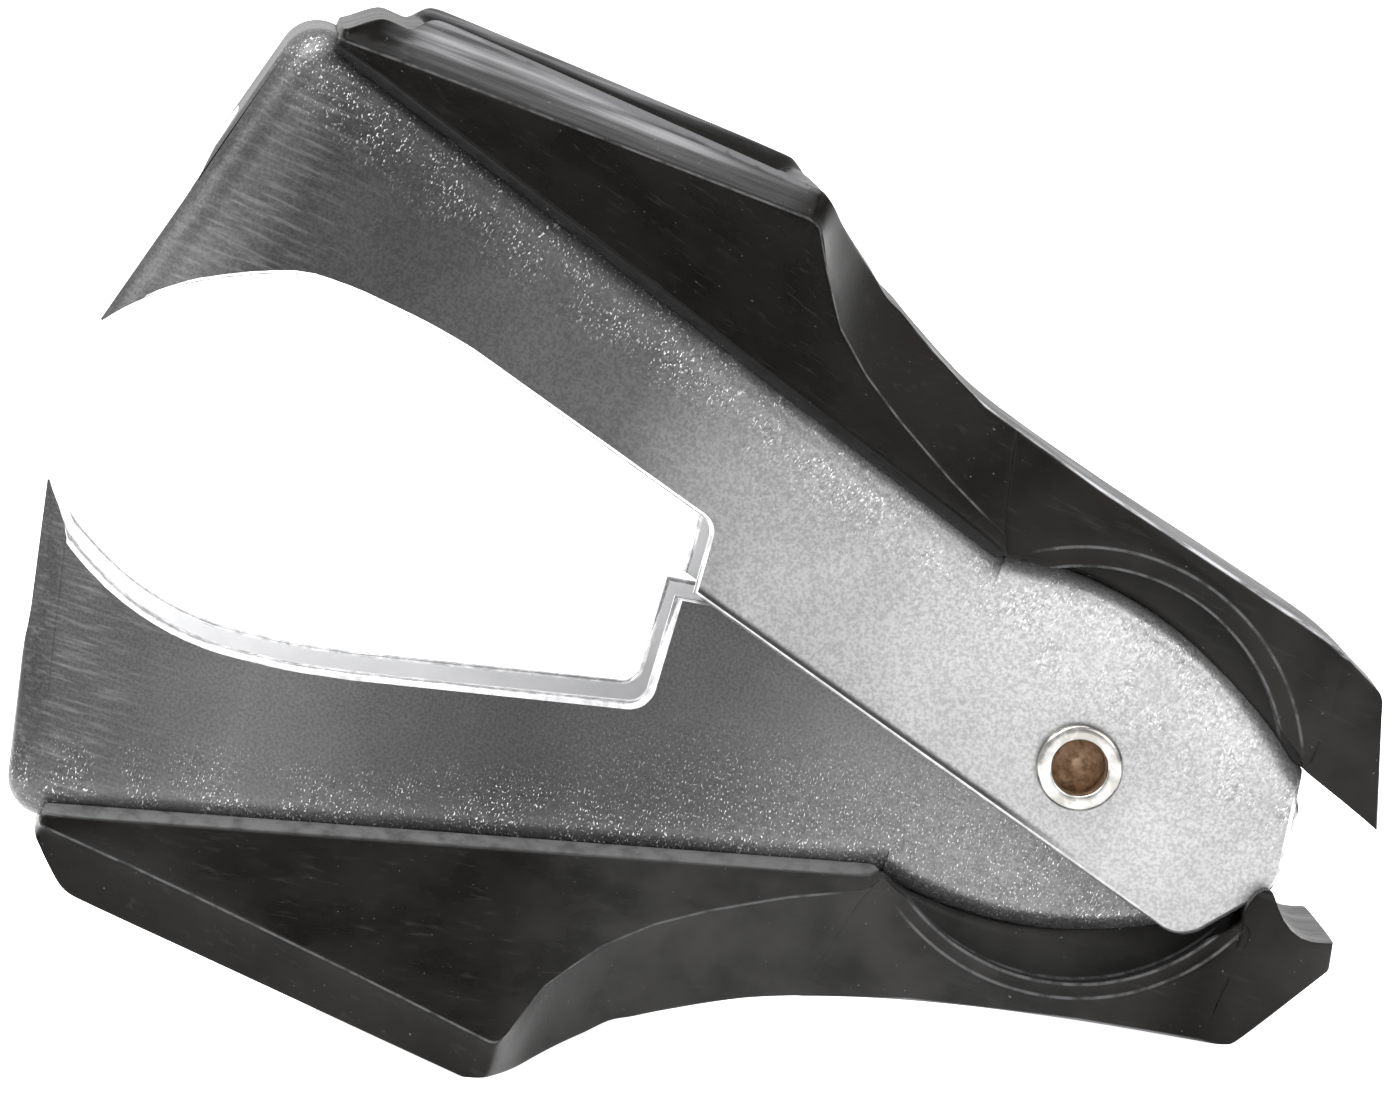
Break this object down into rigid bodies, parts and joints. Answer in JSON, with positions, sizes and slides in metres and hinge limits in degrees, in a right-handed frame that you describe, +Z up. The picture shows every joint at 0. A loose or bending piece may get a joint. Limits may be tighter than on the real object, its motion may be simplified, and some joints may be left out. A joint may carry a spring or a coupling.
{
  "type": "staple remover",
  "caption": "Jaw-style staple remover: two sprung folded-steel jaws with sharp fangs, riveted at the rear, each under a flared black moulded finger grip.",
  "frame": {"origin": "centre of the overall box's underside, on the surface the tool stands on", "axes": "+Z up, -X toward the fang tips, +X toward the pivot, Y along the rivet with the rolled rim toward -Y"},
  "size_m": [0.0572, 0.035, 0.0431],
  "materials": {
    "upper_jaw_steel": "zinc-plated folded sheet, mottled along its bends",
    "lower_jaw_steel": "zinc-plated folded sheet, bright on its cut edges",
    "upper_grip_plastic": "semi-gloss black moulded plastic with light scuffs",
    "lower_grip_plastic": "semi-gloss black moulded plastic with light scuffs",
    "rivet_nickel": "nickel-plated, rolled rim",
    "spring_wire": "plain drawn spring wire"
  },
  "bodies": {
    "lower": {"lower_jaw": "lower_jaw_steel", "lower_grip": "lower_grip_plastic", "pivot_rivet": "rivet_nickel", "torsion_spring": "spring_wire"},
    "upper": {"upper_jaw": "upper_jaw_steel", "upper_grip": "upper_grip_plastic"}
  },
  "joints": [
    {"name": "jaw_pivot", "type": "hinge", "parent": "lower", "child": "upper", "pos_m": [0.01591, 0, 0.0116], "axis": [0, -1, 0], "range_deg": [0, 16], "stiffness_Nm_per_rad": 0.15, "springref_deg": -34.38, "deforming": ["torsion_spring"]}
  ]
}
